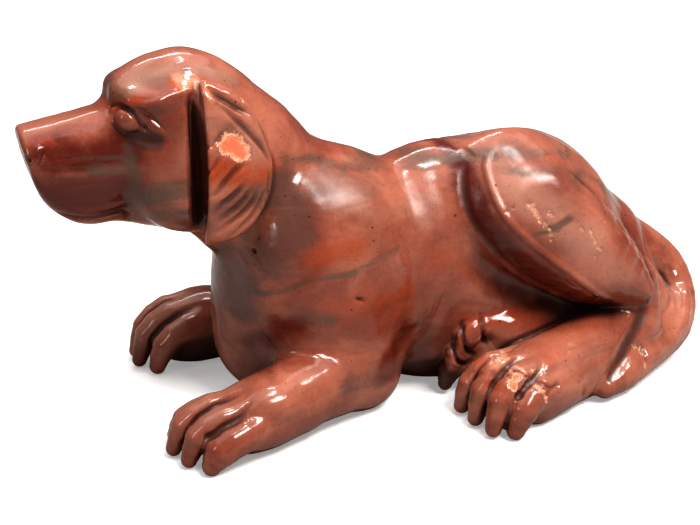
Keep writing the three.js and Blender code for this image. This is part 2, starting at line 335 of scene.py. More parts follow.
def foreleg(side, forearm, palm, rows):
    """The side is -1 on the left and 1 on the right."""
    shoulder = egg((-12, 16 * side, 40), (21, 13, 25), 10)
    elbow = egg((-4, 16.5 * side, 15), (11, 11.5, 16))
    return join(MUSCLE, shoulder, elbow, forearm, join(SKIN_FOLD, palm, toes(rows)))


def left_foreleg():
    forearm = limb(((-4, -18.5, 10.5), (-20, -25.5, 11), (-34, -31.5, 10)), (10.5, 10, 9), 3)
    return foreleg(-1, forearm, egg((-39, -32.5, 7), (13, 8, 7), 0, 25), LEFT_FORE_TOES)


def right_foreleg():
    forearm = limb(((-3, 19, 11), (-22, 23, 11), (-35, 26, 11)), (11, 10.5, 10), 3)
    return foreleg(1, forearm, egg((-41, 26, 8.5), (12, 9.5, 8.5)), RIGHT_FORE_TOES)


def left_thigh():
    spine = ((41.5, 0, 53.5), (51, 0, 44.3), (60, 0, 37.3), (69, 0, 31.2), (76, 0, 26.5))
    outline = seen_from_side(limb(spine, (17.2, 15.3, 13.3, 9.8, 7.6), 2))
    face = egg((58, 0, 36), (60, 36.5, 50))
    return trim(HOLLOW, bevelled(outline, face, width=7, blend=SINEW), behind((0, -8, 0), (0, 1, 0)))


def right_thigh():
    outline = seen_from_side(limb(((40, 0, 44), (55, 0, 34), (70, 0, 24)), (15.5, 13.5, 11), 3))
    face = egg((56, 0, 28), (58, 35, 48))
    return trim(HOLLOW, bevelled(outline, face, width=5, blend=SKIN_FOLD), behind((0, 8, 0), (0, -1, 0)))


def hollow_along_thigh():
    """The flank sinks towards the leaf's front edge and lies deep under its lower one."""
    line = ((22, -22, 70), (20, -27.5, 60), (22, -29, 50), (29, -29, 40), (39, -28, 32), (50, -28, 27.5),
            (61, -30, 24.5))
    return limb(line, (1.5, 3.5, 5, 6, 6.5, 6, 3.5), 2)


def left_hind_foot():
    shank = limb(((77, -20, 24), (75, -22, 13), (58, -30, 10.5), (43, -35.5, 10)), (9, 11.5, 9.8, 9.3), 3)
    heel = limb(((36, -44.5, 5), (43, -40.5, 5.5), (53, -35.5, 6.5), (63, -31, 8)), (5, 5.7, 6.5, 7.5), 2)
    sole = egg((37, -38.5, 8), (10, 9, 8.6), 0, 14)
    return join(TENDON, join(MUSCLE, shank, heel, sole), toes(LEFT_HIND_TOES))


def right_hind_foot():
    shank = limb(((66, -14, 18), (50, -19, 18.5), (38, -21.5, 17)), (6, 6.5, 7.5), 3)
    sole = egg((34, -20, 9), (9, 8, 9))
    return join(SKIN_FOLD, shank, sole, toes(RIGHT_HIND_TOES))


def hound():
    body = join(NECK_ROOT, torso(), neck())
    body = join(LIMB_ROOT, body, within((-25, -22, 25), 52, left_foreleg()),
                within((-25, 22, 25), 52, right_foreleg()))
    body = join(HOLLOW, body, within((-62, 0, 75), 38, head()))
    body = join(RIM, body, within((-38, 0, 72), 34, ears()))
    body = carve(NOOK, body, within((-46, 0, 72), 30, gaps_before_ears()))
    body = carve(HOLLOW, body, hollow_along_thigh())
    body = join(SKIN_FOLD, body, left_thigh(), right_thigh())
    body = join(SINEW, body, within((48, -30, 14), 46, left_hind_foot()))
    body = join(RIM, body, within((43, -19, 13), 34, right_hind_foot()))
    body = join(NOOK, body, within((85, -18, 18), 42, limb(TAIL_LINE, TAIL_RADII, 3)))
    return trim(SOLE, body, lambda x, y, z: -z)


def slope(form, points, reach=0.04):
    """The form's gradient at the points, from the four corners of a small tetrahedron."""
    total = np.zeros_like(points)
    for corner in ((1, -1, -1), (-1, -1, 1), (-1, 1, -1), (1, 1, 1)):
        shifted = points + reach * np.array(corner)
        total += np.outer(form(*shifted.T), corner)
    return total / (4 * reach)


def outward_at(form, points):
    """The directions straight out of the stone."""
    gradient = slope(form, points)
    return gradient / np.maximum(np.linalg.norm(gradient, axis=1), 1e-6)[:, None]


def settle(form, points, rounds=3, least_slope=0.2):
    """Moves points onto the form's surface and gives them with their outward directions."""
    def part(points):
        for _ in range(rounds):
            gradient = slope(form, points)
            steepness = np.maximum((gradient ** 2).sum(axis=1), least_slope)
            points = points - (form(*points.T) / steepness)[:, None] * gradient
        return points, outward_at(form, points)

    placed, outward = zip(*in_parts(part, points))
    return np.concatenate(placed), np.concatenate(outward)


def in_parts(work, points, parts=8):
    """Works on several parts of the points at once, which changes nothing but the time it takes."""
    with ThreadPoolExecutor(4) as pool:
        return list(pool.map(work, np.array_split(points, min(parts, len(points)))))


def drop(form, points, directions, start=150, steps=90, share=0.9):
    """Drops points onto the form along their directions, as a tool pressed on from there would meet it."""
    places = points - start * directions
    for _ in range(steps):
        places = places + (form(*places.T) * share)[:, None] * directions
    return places


FROM_LEFT = (0.0, 1.0, 0.0)
FROM_RIGHT = (0.0, -1.0, 0.0)
FROM_FRONT = (1.0, 0.0, 0.0)
FROM_VIEWER = np.array([0.319, 0.877, -0.358])
NEAREST = None


class Stroke:
    """A cut (positive depth) or a raised line (negative) along a line on the stone, in millimetres."""

    def __init__(self, line, width, depth, fade=0.3, pressed=NEAREST):
        self.line = line
        self.width = width
        self.depth = depth
        self.fade = fade
        self.pressed = pressed


def side_line(points):
    """A line drawn on the side elevation, as x, z, x, z and so on."""
    return smooth_line([(x, 0, z) for x, z in np.reshape(points, (-1, 2))], LINE_STEPS)


def side_strokes(points, width, depth, fade):
    """The same stroke on both sides, drawn on the side elevation."""
    return [Stroke(side_line(points), width, depth, fade, pressed) for pressed in (FROM_LEFT, FROM_RIGHT)]


def eased(line, rounds=6):
    """The line without the jumps it makes where it crosses an edge."""
    line = line.copy()
    for _ in range(rounds):
        line[1:-1] = (line[:-2] + 2 * line[1:-1] + line[2:]) / 4
    return line


def lay_on(form, strokes):
    """Brings all the strokes' lines onto the stone."""
    for pressed in (True, False):
        some = [stroke for stroke in strokes if (stroke.pressed is not NEAREST) == pressed]
        points = np.concatenate([stroke.line for stroke in some])
        ends = np.cumsum([len(stroke.line) for stroke in some])[:-1]
        if pressed:
            directions = np.concatenate([np.tile(stroke.pressed, (len(stroke.line), 1)) for stroke in some])
            dropped = np.split(drop(form, points, directions), ends)
            points = np.concatenate([eased(line) for line in dropped])
        points, _ = settle(form, points)
        for stroke, line in zip(some, np.split(points, ends)):
            stroke.line = line


def comb(first, last, count, rng, spread):
    """Lines from first to last, evenly spaced but for a little unevenness of the hand."""
    first, last = np.array(first, float), np.array(last, float)
    rows = []
    for i in range(count):
        t = i / (count - 1)
        rows.append(first + (last - first) * t + rng.uniform(-spread, spread, first.shape))
    return rows


# Cuts and ridges of the head, seen from the side: x, z, x, z along each, width, depth and fade at its ends.
FACE_LINES = (
    # upper lid's groove, the skin behind it and the fine cut beyond
    ((-65.4, 83.4, -65, 85.6, -62.8, 86.5, -61, 85.8, -59.2, 83.3, -57.4, 80.6, -55.6, 78.8), 0.9, 0.7, 0.2),
    ((-61, 86.6, -57.2, 83.4, -53.6, 79.8), 1.2, -0.35, 0.35),
    ((-60, 87.2, -55.5, 83.2, -51.8, 79.6), 0.7, 0.45, 0.4),
    ((-62.6, 88, -57.6, 87, -53.4, 88.4, -49.6, 90.6), 1.3, -0.5, 0.4),
    # lower lid and the dark hollow below the eye
    ((-65.2, 82.2, -63.6, 80.8, -61.6, 80.1), 0.7, 0.3, 0.3),
    ((-61.4, 79.8, -58.5, 78.5, -56.7, 78, -54.9, 78, -52.6, 78.6), 1.8, 0.7, 0.4),
    # nostril and the groove that curls up behind its wing
    ((-87, 77.6, -86, 75.2, -85, 74.4), 0.9, 0.9, 0.2),
    ((-84.9, 72.6, -82.8, 74.6, -81.8, 77.2), 0.9, 0.6, 0.3),
    ((-84.2, 75.6, -83.2, 76.8, -83, 78.6), 0.9, -0.35, 0.4),
    # mouth: the cut, which turns down at the corner, and the lip's rounded rim over it
    ((-80.4, 60.6, -75.5, 58.8, -71, 58.4, -66, 58.9, -63.4, 58.7, -62.2, 57.4, -61.9, 55.6), 1.1, 1, 0.1),
    ((-80, 62.9, -75.4, 61, -71, 60.5, -66, 60.9, -62, 61), 1.5, -0.4, 0.3),
    # the soft groove round the crown
    ((-62.6, 90, -56.7, 93, -49.4, 95.2, -40.2, 95, -33.4, 91, -28.4, 84.6), 2.6, 0.35, 0.25),
)
# The ears' cut hair, fanning out from the middle of the ear.
EAR_LINES = (
    ((-43.2, 90.6, -38.8, 87.6, -35.7, 85.5, -31.6, 83), 1.4, 1, 0.3),
    ((-41.6, 87.8, -36.1, 82.5, -33, 79, -29.8, 74.9, -28.2, 70.6), 1.2, 0.9, 0.3),
    ((-36.8, 91, -34.8, 88, -32.4, 83.7, -29.8, 78.6), 0.8, 0.4, 0.4),
    ((-44.8, 75.2, -42.2, 78.3, -40.4, 79.9, -36.6, 81.4), 1.1, 0.8, 0.4),
    ((-44.8, 68.8, -42.7, 73, -39.8, 75.6), 1, 0.7, 0.4),
    ((-45.2, 63.2, -40.9, 67.9, -37.3, 71.2, -34.4, 72.8), 1.4, 1, 0.35),
    ((-45.4, 60.2, -40.6, 63.4, -37.1, 65.8, -34.4, 68.4), 1.3, 1, 0.35),
    ((-45.6, 57.4, -39, 61, -35.4, 63.9, -32.8, 68), 1.2, 0.9, 0.35),
    ((-44.4, 55.2, -37.3, 59.4, -33.7, 62.4, -31.2, 67.2), 1.1, 0.9, 0.35),
    ((-40.4, 53.4, -34.4, 58.3, -31.6, 61.8, -29.6, 65.4), 1, 0.7, 0.35),
    ((-42, 65.2, -38.6, 67.8, -36.2, 69.2), 0.7, 0.4, 0.45),
    ((-42, 58.4, -37.6, 61, -34.8, 64.6), 0.7, 0.4, 0.45),
    ((-29, 72, -28.6, 67.2, -29.6, 63), 0.8, 0.5, 0.4),
    ((-35.6, 91.2, -30.9, 83.6, -28, 75.5, -26.8, 69, -28.2, 62, -33.2, 55.2), 1.4, 0.5, 0.3),
)
# The left thigh's back edge, where its groove runs, with a ridge this far before and below it.
THIGH_GROOVE = (46, 66.6, 53.4, 62.6, 60.4, 56.4, 67.2, 49.2, 74, 40.2, 79, 32, 80.8, 25.6, 79.6, 18)
RIDGE_OFF = (2.4, 1.6)
# The left thigh's lines, given as the face's are.
THIGH_LINES = (
    (THIGH_GROOVE, 2.6, 1.1, 0.3),
    (np.reshape(THIGH_GROOVE[2:], (-1, 2)) - RIDGE_OFF, 1.6, -0.35, 0.3),
    # the fold of the rump behind it, the thigh's raised rim and the groove along its front
    ((70, 51, 77.1, 43.7, 82.7, 35.4, 86.2, 27.1, 86.6, 18.4, 83.9, 11.6), 2.4, 0.6, 0.3),
    ((34.6, 68.2, 31.3, 65.1, 30.6, 60.8, 31.1, 56.1, 33.9, 50.8, 39.2, 45.7, 45.2, 40.8,
      52.8, 34.5, 61.6, 28, 70, 24), 1.4, -0.7, 0.15),
    ((33.6, 70.6, 29.6, 67.6, 26.6, 63.6, 25.2, 59.2, 25.2, 52.8, 27.6, 48, 31.8, 42,
      38.1, 36.2, 45.4, 32, 52.5, 28), 1.8, 0.7, 0.3),
)
# The cut down the middle of the nose and lips.
PHILTRUM = ((0, 0, 76), (0, 0, 68), (0, 0, 58))
# The cheek's wall of the slot before the ear swells towards the ear.
CHEEK_WALL = ((-48, 13, 86), (-47.8, 13, 78), (-47.6, 13, 70), (-47.4, 13, 62), (-47.2, 13, 54))
# The right hind foot's toes, cut across its side.
RIGHT_HIND_CUTS = (
    ((28.9, -25, 24.3), (28.4, -26.3, 22.2), (28.6, -27.1, 20.1), (29.2, -26.6, 17.5), (30.7, -25.8, 14.8)),
    ((23.9, -24, 23.4), (22.9, -25.5, 20), (23.4, -26.9, 16.4), (25.2, -26.2, 14), (27.3, -25.2, 11.7)),
    ((21.7, -23.8, 19.2), (21, -23.8, 14.8), (21.4, -25.5, 12.5), (23.4, -25, 10.4), (25.8, -24.1, 8.8)),
)


def head_strokes():
    strokes = [Stroke(smooth_line(PHILTRUM, LINE_STEPS), width=0.8, depth=0.6, pressed=FROM_FRONT)]
    for side in (-1, 1):
        wall = [(x, side * y, z) for x, y, z in CHEEK_WALL]
        strokes.append(Stroke(smooth_line(wall, count=4), width=4.5, depth=-1.3, fade=0.4))
    for row in FACE_LINES + EAR_LINES:
        strokes += side_strokes(*row)
    return strokes


def thigh_strokes():
    return [Stroke(side_line(line), *cut, FROM_LEFT) for line, *cut in THIGH_LINES]


def paw_strokes(back=0.55, above_paw=4, above_knuckle=2, bow_out=0.35):
    """The cuts between the toes run on back over the paw, and bow out from the knuckles to the claws."""
    strokes = []
    for rows in (LEFT_FORE_TOES, RIGHT_FORE_TOES, LEFT_HIND_TOES):
        for one, other in zip(rows, rows[1:]):
            root, knuckle, tip = (np.add(a, b) / 2 for a, b in zip(one[:3], other[:3]))
            start = knuckle + back * (root - knuckle) + (0, 0, above_paw)
            over = knuckle + (0, 0, above_knuckle)
            bow = (knuckle + tip) / 2 + bow_out * (knuckle - tip) * (0, 0, 1)
            strokes.append(Stroke(smooth_line((start, over, bow, tip), count=8), width=1.5, depth=0.9))
    for line in RIGHT_HIND_CUTS:
        strokes.append(Stroke(smooth_line(line, LINE_STEPS), width=1.1, depth=0.9, fade=0.2))
    return strokes


# Strokes along the tail run from one step of its line to another, lean round it from the side that the viewer
# sees and twist on by their end, in radians. The two long cuts: first and last step, lean, twist and depth.
TAIL_CUTS = (
    (6, 38, 0.55, -0.5, 0.35),
    (8, 36, -0.5, -0.4, 0.3),
)
# The cut that sets off the lobe at the tail's end, and the dark one between the tail and the foot.
TAIL_LOBE = ((70.8, -35.7, 13.4), (73.9, -35.2, 11.8), (74.2, -37.1, 9.8), (73.9, -38.5, 6.7))
TAIL_CREASE = ((58.5, -41.8, 4.5), (61.2, -40.8, 8.7), (66.7, -37.9, 13.1), (73.5, -33, 17.3),
               (77.8, -30.4, 22.6), (80, -29.6, 28.3))


def tail_strokes(rng, knob_steps=4, knob_lean=0.1, lean_per_step=0.015, hair_clearance=1.5):
    """Soft knobs wind along the tail's near side between two long cuts, with finer hair all round it."""
    middle = smooth_line(TAIL_LINE, LINE_STEPS)
    radii = np.interp(np.linspace(0, len(TAIL_RADII) - 1, len(middle)), range(len(TAIL_RADII)), TAIL_RADII)

    def swept(first, last, lean, twist):
        line = []
        for i in range(first, last):
            along = middle[i + 1] - middle[i - 1]
            along /= np.linalg.norm(along)
            facing = -FROM_VIEWER + FROM_VIEWER.dot(along) * along
            facing /= np.linalg.norm(facing)
            side = np.cross(along, facing)
            turn = lean + twist * (i - first) / (last - first)
            line.append(middle[i] + radii[i] * (math.cos(turn) * facing + math.sin(turn) * side))
        return np.array(line)

    strokes = [Stroke(swept(first, last, lean, twist), width=1.5, depth=depth)
               for first, last, lean, twist, depth in TAIL_CUTS]
    for knob in range(6, 34, knob_steps):
        line = swept(knob, knob + knob_steps, knob_lean - lean_per_step * knob, twist=-0.05)
        strokes.append(Stroke(line, width=2, depth=-0.5, fade=0.5))
    for first in (7, 17, 26):
        for lean in np.linspace(-1.6, 4, 9):
            last = min(first + rng.integers(10, 14), len(middle) - 2)
            line = swept(first, last, lean + rng.uniform(-0.1, 0.1), twist=0.5)
            if line[:, 2].min() > hair_clearance:
                strokes.append(Stroke(line, width=0.9, depth=rng.uniform(0.12, 0.3), fade=0.45))
    strokes.append(Stroke(smooth_line(TAIL_CREASE, LINE_STEPS), width=3.6, depth=0.9, fade=0.35))
    strokes.append(Stroke(smooth_line(TAIL_LOBE, LINE_STEPS), width=1.3, depth=0.8, fade=0.2))
    return strokes


# Soft raised muscles, seen from the side: a line, its width and its height.
MUSCLES = (
    ((-38.5, 28, -32.6, 32.6, -26.5, 32.5, -12.9, 25.4), 4, -0.6),
    ((-33, 33.5, -23, 37, -16, 45, -14, 54), 4, -0.4),
    ((18.2, 39.2, 14.4, 31, 10.8, 22, 6.6, 13.5, 1.6, 8.4), 3.6, -0.6),
    ((-2, 55, 4, 44, 6, 32, 2, 22), 5, -0.5),
    ((7, 64, 9, 54, 10.5, 42), 6, -0.9),
    ((-21, 67, -17.6, 61, -19, 54), 5, -0.8),
)
# Fine cuts of hair: each patch's first and last line seen from the side, how many, width and depth.
COAT = (
    ((-39.5, 33, -36.5, 26, -32.5, 19), (-29, 33, -25.5, 26, -22, 21), 9, 0.6, 0.12),
    ((14, 38, 11, 30, 9, 20), (21, 36, 17, 27, 14.5, 16), 6, 0.8, 0.18),
    ((-40, 50, -36, 46, -33, 40), (-28, 50, -25, 44, -23.5, 38), 7, 0.6, 0.1),
)


def coat_strokes(rng):
    strokes = []
    for points, width, height in MUSCLES:
        strokes += side_strokes(points, width, height, fade=0.45)
    for first, last, count, width, depth in COAT:
        for line in comb(first, last, count, rng, spread=0.6):
            strokes += side_strokes(line, width, depth * rng.uniform(0.7, 1.3), fade=0.5)
    return strokes


def from_line(points, line):
    """How far the points are from a line, and how far along it they come nearest, from 0 to 1."""
    nearest = np.full(len(points), np.inf)
    place = np.zeros(len(points))
    for i, (start, run) in enumerate(zip(line, np.diff(line, axis=0))):
        t = unit((points - start) @ run / max(run.dot(run), 1e-9))
        off = np.linalg.norm(points - start - np.outer(t, run), axis=1)
        closer = off < nearest
        nearest[closer] = off[closer]
        place[closer] = (i + t[closer]) / (len(line) - 1)
    return nearest, place


def depth_of(strokes, points, bluntness=0.8, sharpness=1.5):
    """How deep the strokes cut at each point: the deepest cut wins, and raised lines are taken off it."""
    cut = np.zeros(len(points))
    raised = np.zeros(len(points))
    for stroke in strokes:
        line, width = stroke.line, stroke.width
        beside = (points > line.min(axis=0) - width) & (points < line.max(axis=0) + width)
        near = np.flatnonzero(beside.all(axis=1))
        nearest, place = from_line(points[near], line)
        ends = unit(np.minimum(place, 1.0 - place) / stroke.fade) ** bluntness
        section = unit(1.0 - (nearest / width) ** 2) ** sharpness
        value = abs(stroke.depth) * ends * section
        target = cut if stroke.depth > 0 else raised
        target[near] = np.maximum(target[near], value)
    return cut - raised


# Chips and knocks on the left side: where, then their half width, half height and turn seen from the side.
CHIPS = (
    # the large one on the ear
    (-37.6, -22, 77.6, 3.6, 3.2, -30),
    (-36, -21.5, 75.4, 3.2, 2.8, -10),
    (-39.6, -22, 77, 2.2, 2.4, 20),
    # nicks on the thigh's face
    (38.8, -31.3, 56.2, 1.2, 0.8, -20),
    (40.2, -32.2, 54.2, 0.9, 1.3, 25),
    (41.8, -33.2, 51.6, 0.8, 1.6, 35),
    (43.3, -33.9, 49.6, 0.7, 1.4, 30),
    (43.9, -34.4, 47.4, 0.5, 1, 0),
    (43.4, -32.9, 54, 0.6, 0.9, 20),
    (52.3, -35, 49.5, 0.8, 0.6, 0),
    (54.8, -35.2, 47.9, 0.5, 1.1, 15),
    (55.8, -35.6, 46, 0.5, 1, 20),
    (57.6, -36, 43.6, 0.9, 0.6, -35),
    (56.6, -36.2, 41.6, 0.6, 0.6, 0),
    (60.8, -32.5, 49, 0.4, 0.8, 15),
    (32.2, -30, 55, 0.5, 0.5, 0),
    (34.4, -30, 55.4, 0.4, 0.4, 0),
    # the left hind foot: its broken knuckle and the torn line across its last toe
    (26.4, -40.5, 17.5, 1.8, 1.1, 20),
    (26.8, -49, 14.6, 1.5, 2.2, 15),
    (28.2, -48.4, 16.2, 2.1, 1, 35),
    (31.2, -48, 15.4, 0.7, 1.8, -15),
    (32.9, -50, 13.2, 1.4, 0.7, -35),
    (34.5, -51.5, 11.8, 1, 0.9, -45),
    (35.2, -52, 9.8, 0.6, 1.4, 0),
    (33.7, -47.1, 16.4, 1, 0.8, 0),
    # the tail's end
    (70.8, -36.2, 12.4, 1.7, 0.6, 0),
    (73.2, -36, 10.6, 0.7, 1.8, 0),
)
# The waves that hand grinding left: their size, their seed and their share.
GRINDING = ((9, 1, 1), (4, 2, 0.5), (1.8, 8, 0.2))
# Where the stone's colours gather, as lines seen from the side: x, z, x, z along each, half width, strength.
# They run right through the block, as bedding does.
EMBER = (
    ((-19, 47.7, -7, 49.2), 6.5, 0.65),
    ((-43, 71.5, -36, 71, -30, 69), 5.5, 0.9),
    ((-49, 91.5, -43, 91), 3.5, 0.9),
    ((-64.5, 86, -58, 88), 2.2, 0.8),
    ((40, 17.5, 47, 17.5, 60, 20), 4, 0.6),
    ((24, 14, 30, 17), 3, 0.6),
    ((25, 22.4, 36, 22.5, 50, 19.5), 5, 0.7),
    ((-16, 33, -5, 34.5, 8, 35), 9, 0.6),
    ((-5, 26, 11, 34, 18, 42), 6, 0.5),
    ((-86, 77, -81, 78), 3, 0.6),
)
# Dark brown-red, partly the stone's own and partly painted shade on the muzzle's sides, the elbow's recess
# and the thigh's rim that faces away from the light
DARK_RED_AND_SHADE = (
    ((-85, 68, -77, 65, -66, 64), 9, 1.1),
    ((-82, 75, -70, 75, -63, 76), 7, 1),
    ((-1, 12.8, 3, 17.5, 7.5, 22.5), 4.5, 1),
    ((25.5, 70, 25.8, 60, 28, 52, 34, 43.5, 43, 36, 54, 29.4, 67, 23), 4, 1),
    ((-16, 61, -4, 55), 5, 0.5),
    ((-33, 21, -29, 27, -23, 31), 5, 0.8),
    ((62, 30, 76, 20, 80, 10), 5, 0.4),
)
SMOKE = (
    ((-26, 65, -23, 59, -22.5, 53, -30, 47), 8, 1),
    ((-38, 44, -36, 38, -35, 31), 7, 1),
    ((-44, 60, -38, 61.5, -32, 64), 6.5, 0.9),
    ((-12, 13.5, -2, 12, 8, 12.5), 5, 0.8),
    ((-32, 29.5, -26, 33.4, -16, 30.8), 4, 0.6),
    ((12.7, 24.5, 13.5, 10.4), 5, 0.7),
    ((97, 28, 98, 17, 80, 12), 5, 0.4),
    ((-41, 84, -36, 80), 5, 0.5),
)
VEINS = (
    ((-25, 71, -10, 67.2, 13, 63.6, 26, 64.3, 34, 66.8), 2.6, 0.9),
    ((37, 67.9, 48, 67.5, 59, 64.5), 2.4, 0.9),
    ((33.4, 64, 48.4, 63.6, 63.4, 57.3, 77.7, 46.9), 2.4, 0.8),
    ((-24, 66, -16, 64.3, -1, 61.7), 5, 0.8),
    ((-33, 37.4, -28, 39.5, -23, 42, -12, 42.5, -3.4, 44.7, 5, 46.2), 2.2, 1),
    ((39, 48.3, 45.6, 50, 49.7, 53.3), 2, 0.9),
    ((-60, 63, -54, 64.8, -48, 65.8), 4, 0.9),
    ((-62.5, 77, -61.8, 68, -61.2, 59.5), 3.2, 0.95),
    ((-71, 71.6, -67, 70.6, -63.5, 70.2), 2.4, 0.9),
    ((-57, 63, -52, 61, -49, 57), 3.6, 0.8),
    ((-60, 58.5, -55, 60.5, -48.5, 60), 3.5, 0.9),
    ((-78, 75, -70, 74.5, -61.5, 75.3), 1.6, 0.7),
    ((-76.6, 66.6, -69, 66.4, -61, 66.7), 1.6, 0.7),
    ((-64.6, 88, -62, 80, -61, 74), 2, 0.6),
    ((-53, 12.7, -43, 15.5), 1.6, 0.5),
    ((15, 50, 24, 47), 3, 0.6),
)
SAND = (
    ((-63, 89, -56.7, 91.6, -49.4, 93.4, -40.2, 93.4, -33, 89.5), 3, 0.8),
    ((34, 62, 40, 58, 48, 55), 7, 0.5),
    ((-9, 60, 2, 55, 14, 52), 7, 0.5),
)
# Painted sheen: paler where the dulled polish catches highlights, and painted light on the far foreleg, which
# lies in shade
SHEEN_AND_DULL_POLISH = (
    ((36, 60, 44, 54, 54, 46), 9, 1),
    ((56, 42, 66, 34), 7, 0.6),
    ((30, 16, 44, 16, 56, 17), 5, 0.6),
    ((-9, 62, -4, 58), 4, 0.6),
    ((10, 56, 14, 50), 3.5, 0.5),
    ((-58, 92, -46, 96, -34, 92), 4, 0.5),
    ((-42, 84, -36, 80, -32, 74), 5, 0.7),
    ((90, 26, 97, 18, 92, 10), 5, 0.5),
    ((-62, 12, -50, 18, -44, 21), 7, 1.1),
)
# Where handling has worn the polish to fine scratches
WORN = (
    ((-14, 62, -6, 61, 2, 56), 8, 1),
    ((15, 56, 17, 47), 8, 1),
    ((25, 63, 25, 53), 5, 0.8),
    ((34, 60, 44, 55, 54, 46), 14, 0.8),
    ((-30, 38, -34, 28), 8, 0.7),
    ((10, 30, 16, 20), 7, 0.7),
    ((-20, 32, -8, 36), 12, 0.5),
)
MARKS = {
    "ember": EMBER, "deep": DARK_RED_AND_SHADE, "smoke": SMOKE, "vein": VEINS, "sand": SAND, "sheen_and_dull_polish": SHEEN_AND_DULL_POLISH, "worn": WORN,
}
# Dry pale orange where the surface is rubbed through, on the left side only
PALE = (
    ((-48.5, 92, -45, 91.6, -42.6, 89.6), 2.4, 0.9),
    ((25, 17, 29, 18.4), 1.6, 0.7),
    ((43, 17, 50, 17.8), 1.8, 0.4),
    ((70.5, 12.6, 73.4, 12, 73.8, 9.4, 73, 7.4), 0.9, 1),
    ((30.6, 17, 31.6, 15.4, 33, 13.4, 34.6, 12, 35.2, 9.6), 0.7, 1),
    ((38.4, 56.6, 40.2, 54.2, 42.2, 51.2, 43.8, 48.4), 0.9, 0.7),
    ((54.4, 48.4, 55.8, 46, 57.6, 43), 0.6, 0.7),
)
# Painted shade in the dark corners: a line and its radii, how far round it the shade reaches, and its
# strength.
PAINTED_CORNER_SHADE = (
    (((50, -22, 25), (55, -22.3, 23.4), (61.4, -21.4, 21.4), (66, -26.4, 21.9)),
     (0.5, 1.5, 1.8, 0.8), 7, 0.9),
    (((38, -21.5, 33), (46, -22, 26.8), (55, -22.3, 23.4)), (0.1, 0.5, 1.5), 11, 0.55),
    (((-42, 14, 3), (-30, 12, 4)), (3, 6), 8, 0.9),
    (((13, -15, 4), (20, -20, 5)), (2, 3), 5, 0.9),
    (TAIL_CREASE, (0.1, 0.1, 0.1, 0.1, 0.1, 0.1), 1.1, 0.9),
    (((-60.4, -11.8, 79.2), (-58, -13, 78.3), (-55.4, -14.2, 78)), (0.1, 0.3, 0.1), 3.4, 0.9),
)


def ragged(rows, rng, whole=2, nicks=5, strength=0.22, spread=0.8, least=0.35, most_turn=50):
    """Each chip that is smaller than a whole one is strewn as several shallow nicks, turned and spread."""
    for x, y, z, *halves, turn in rows:
        if max(halves) > whole:
            yield x, y, z, *halves, turn, 1
            continue
        c, s = turned(turn)
        for _ in range(nicks):
            u, v = rng.uniform(-spread, spread, 2) * halves
            size = np.maximum(rng.uniform(0.5, 1, 2) * halves, least)
            nick_turn = turn + rng.uniform(-most_turn, most_turn)
            yield x + u * c - v * s, y, z + u * s + v * c, *size, nick_turn, strength


def chipped(form, points):
    """How far inside the nearest chip each point is: up to its strength, 0 at its edge and less beyond."""
    value = np.full(len(points), -1.0)
    rows = list(ragged(CHIPS, np.random.default_rng(seed=11)))
    middles, _ = settle(form, np.array([row[:3] for row in rows]))
    for (_, _, _, half_width, half_height, turn, strength), middle in zip(rows, middles):
        away = points - middle
        c, s = turned(turn)
        u = (away[:, 0] * c + away[:, 2] * s) / half_width
        v = (away[:, 2] * c - away[:, 0] * s) / half_height
        w = away[:, 1] / max(half_width, half_height)
        inside = 1.0 - np.sqrt(u * u + v * v + w * w)
        value = np.maximum(value, np.where(inside > 0, strength * inside, inside))
    return value


def painted(marks, points, fade=1.4):
    """How strongly a colour gathers at each point, seen from the side, fading outwards from its marks."""
    value = np.zeros(len(points))
    flat = points[:, (0, 2)]
    for line, half_width, strength in marks:
        nearest, _ = from_line(flat, np.reshape(line, (-1, 2)).astype(float))
        value = np.maximum(value, strength * np.exp(-(nearest / half_width) ** 2 * fade))
    return value


def ripple(points, size, seed, waves=6, lengths=(0.8, 1.6)):
    """A smooth unevenness between -1 and 1, about size millimetres across."""
    rng = np.random.default_rng(seed)
    total = np.zeros(len(points))
    for _ in range(waves):
        direction = rng.normal(size=3)
        direction *= 2 * math.pi / (size * rng.uniform(*lengths)) / np.linalg.norm(direction)
        total += np.sin(points @ direction + rng.uniform(0, 2 * math.pi))
    return total / waves


def mesh_of(shape, name):
    mesh = bpy.data.meshes.new(name)
    shape.to_mesh(mesh)
    shape.free()
    return mesh


def put_in_scene(name, data):
    made = bpy.data.objects.new(name, data)
    bpy.context.collection.objects.link(made)
    return made


def take_in_modifiers(piece):
    graph = bpy.context.evaluated_depsgraph_get()
    mesh = bpy.data.meshes.new_from_object(piece.evaluated_get(graph))
    piece.modifiers.clear()
    old = piece.data
    piece.data = mesh
    bpy.data.meshes.remove(old)


def coordinates(mesh):
    values = np.empty(3 * len(mesh.vertices))
    mesh.vertices.foreach_get("co", values)
    return values.reshape(-1, 3)


def set_coordinates(mesh, points):
    mesh.vertices.foreach_set("co", np.ascontiguousarray(points).ravel())
    mesh.update()


def rough_block(grain):
    """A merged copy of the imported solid, remade as an even skin of small faces."""
    shape = bmesh.new()
    shape.from_mesh(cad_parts[NODE].data)
    bmesh.ops.remove_doubles(shape, verts=shape.verts, dist=1e-6)
    piece = put_in_scene(PIECE, mesh_of(shape, PIECE))
    remesh = piece.modifiers.new("even_skin", "REMESH")
    remesh.mode = "VOXEL"
    remesh.voxel_size = grain
    take_in_modifiers(piece)
    return piece


def thin_out(piece, most):
    """Keeps the faces where the stone curves and drops them where it is plain."""
    count = sum(len(face.vertices) - 2 for face in piece.data.polygons)
    if count > most:
        thin = piece.modifiers.new("thin_out", "DECIMATE")
        thin.ratio = most / count
        take_in_modifiers(piece)


def add_attribute(mesh, name, values):
    layer = mesh.attributes.new(name, "FLOAT", "POINT")
    layer.data.foreach_set("value", np.ascontiguousarray(values, dtype=np.float32))


